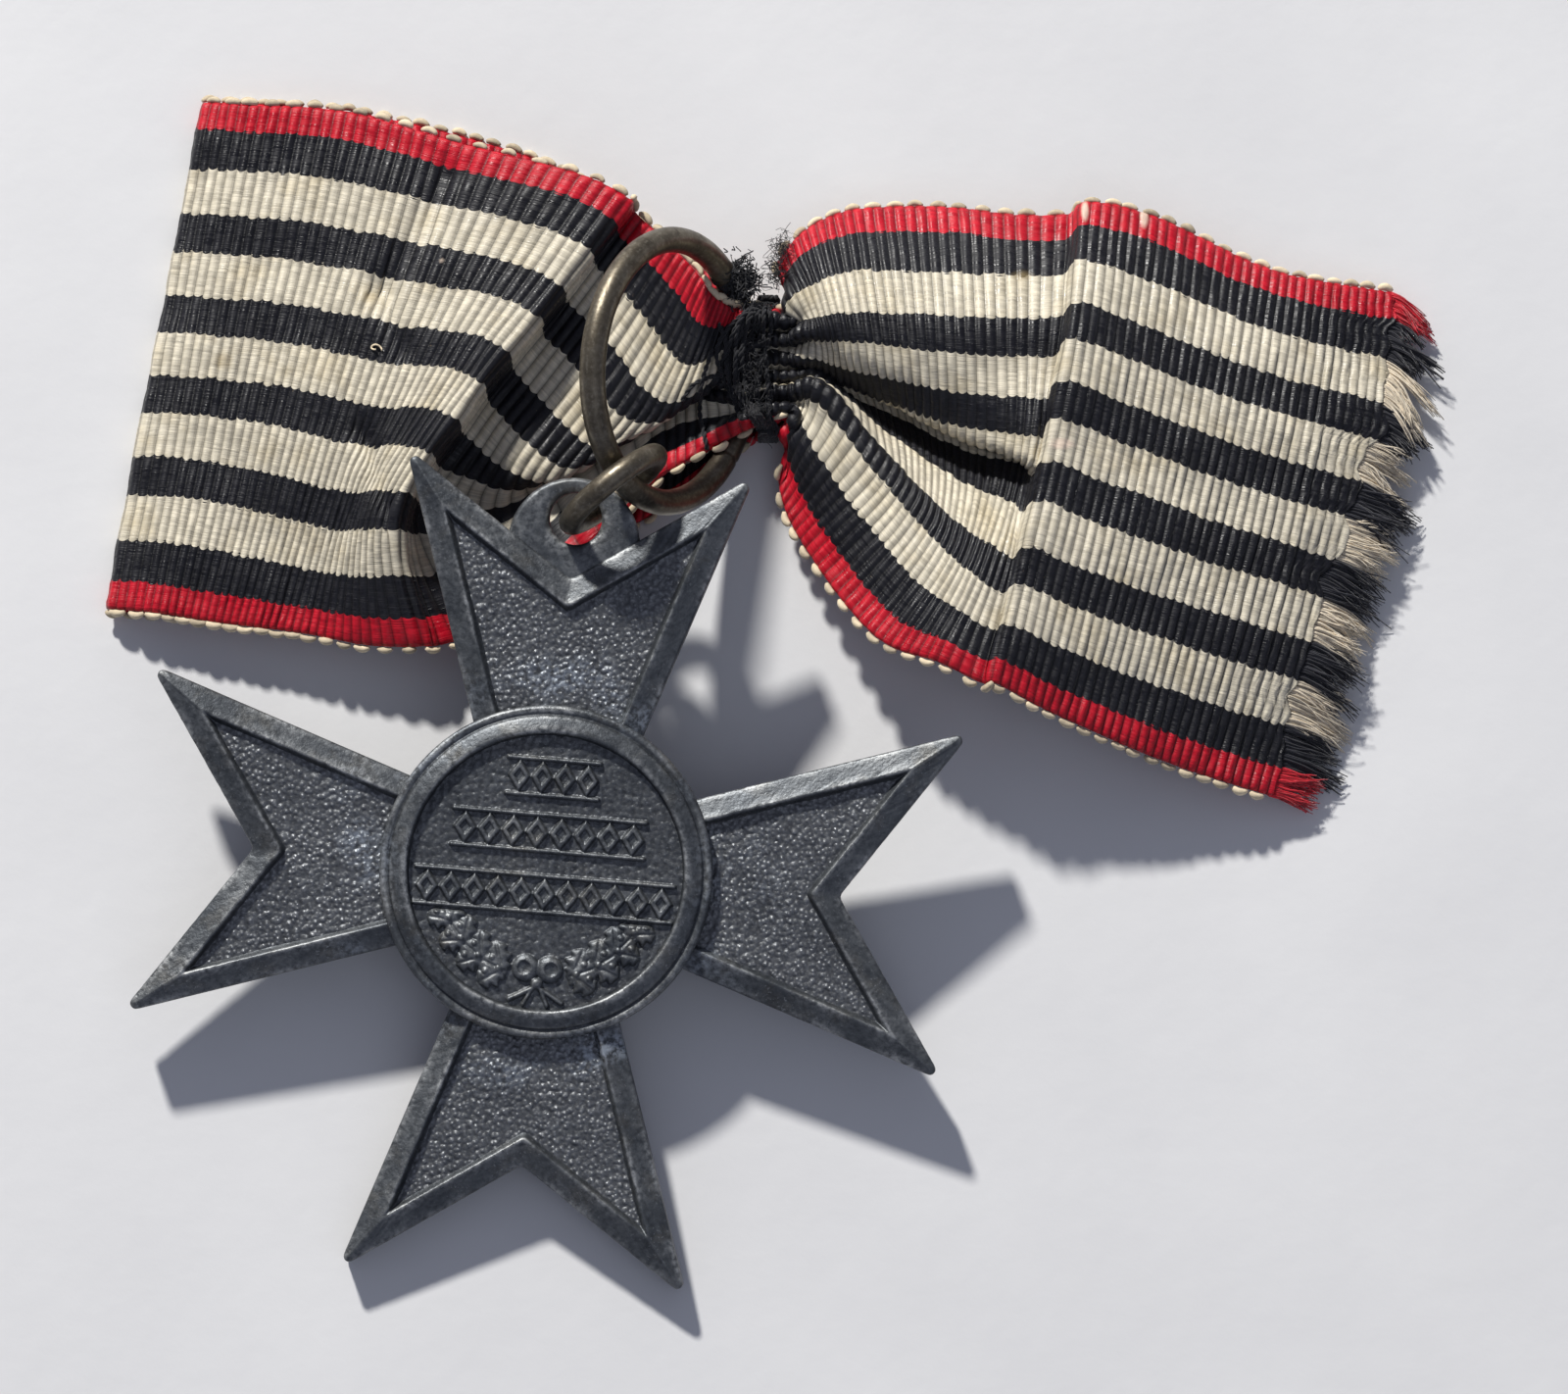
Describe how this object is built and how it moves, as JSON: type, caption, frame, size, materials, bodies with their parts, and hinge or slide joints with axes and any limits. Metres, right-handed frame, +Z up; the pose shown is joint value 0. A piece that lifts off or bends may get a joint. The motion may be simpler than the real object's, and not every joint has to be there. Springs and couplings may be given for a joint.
{
  "type": "service medal",
  "caption": "Eight-pointed metal service cross hanging by a jump ring and a ribbon ring from a striped, gathered grosgrain ribbon with a frayed cut end.",
  "frame": {"origin": "centre of the whole object's footprint on the table it lies on, as it lies in the picture", "axes": "+Z up from the table, +X to the right along the ribbon towards its cut end, +Y away from the viewer, from the cross towards the ribbon"},
  "size_m": [0.0708, 0.0629, 0.0133],
  "materials": {
    "zinc": "oxidised zinc, pebbled fields, lighter worn edges",
    "old_wire": "dull brown oxidised wire with fine scratches",
    "ribbon": "ribbed grosgrain in black and ivory stripes with narrow red edges",
    "thread": "black cotton sewing thread",
    "yarn_red": "loose red silk yarn",
    "yarn_black": "loose black silk yarn",
    "yarn_white": "loose ivory silk yarn"
  },
  "bodies": {
    "ribbon": {"ribbon_back": "ribbon", "ribbon_left_fold": "ribbon", "ribbon_front": "ribbon", "ribbon_valley": "ribbon", "ribbon_throat": "ribbon", "ribbon_waist": "ribbon", "ribbon_tail_gather": "ribbon", "ribbon_tail": "ribbon", "binding_thread": "thread", "thread_tuft": "thread", "fray_red": "yarn_red", "fray_black": "yarn_black", "fray_white": "yarn_white"},
    "ribbon_ring": {"ribbon_ring": "old_wire"},
    "jump_ring": {"jump_ring": "old_wire"},
    "cross": {"cross": "zinc"}
  },
  "joints": [
    {"name": "ribbon_ring_turn", "type": "hinge", "parent": "ribbon", "child": "ribbon_ring", "pos_m": [-0.0059, 0.0159, 0.00695], "axis": [-0.8164, 0.144, -0.5592], "range_deg": [0, 40]},
    {"name": "jump_ring_swing", "type": "hinge", "parent": "ribbon_ring", "child": "jump_ring", "pos_m": [-0.0085, 0.01005, 0.00924], "axis": [-0.4323, 0.4893, 0.7575], "range_deg": [0, 10]},
    {"name": "cross_swing", "type": "hinge", "parent": "jump_ring", "child": "cross", "pos_m": [-0.0088, 0.0094, 0.00835], "axis": [-0.6157, 0.788, 0], "range_deg": [0, 40]}
  ]
}
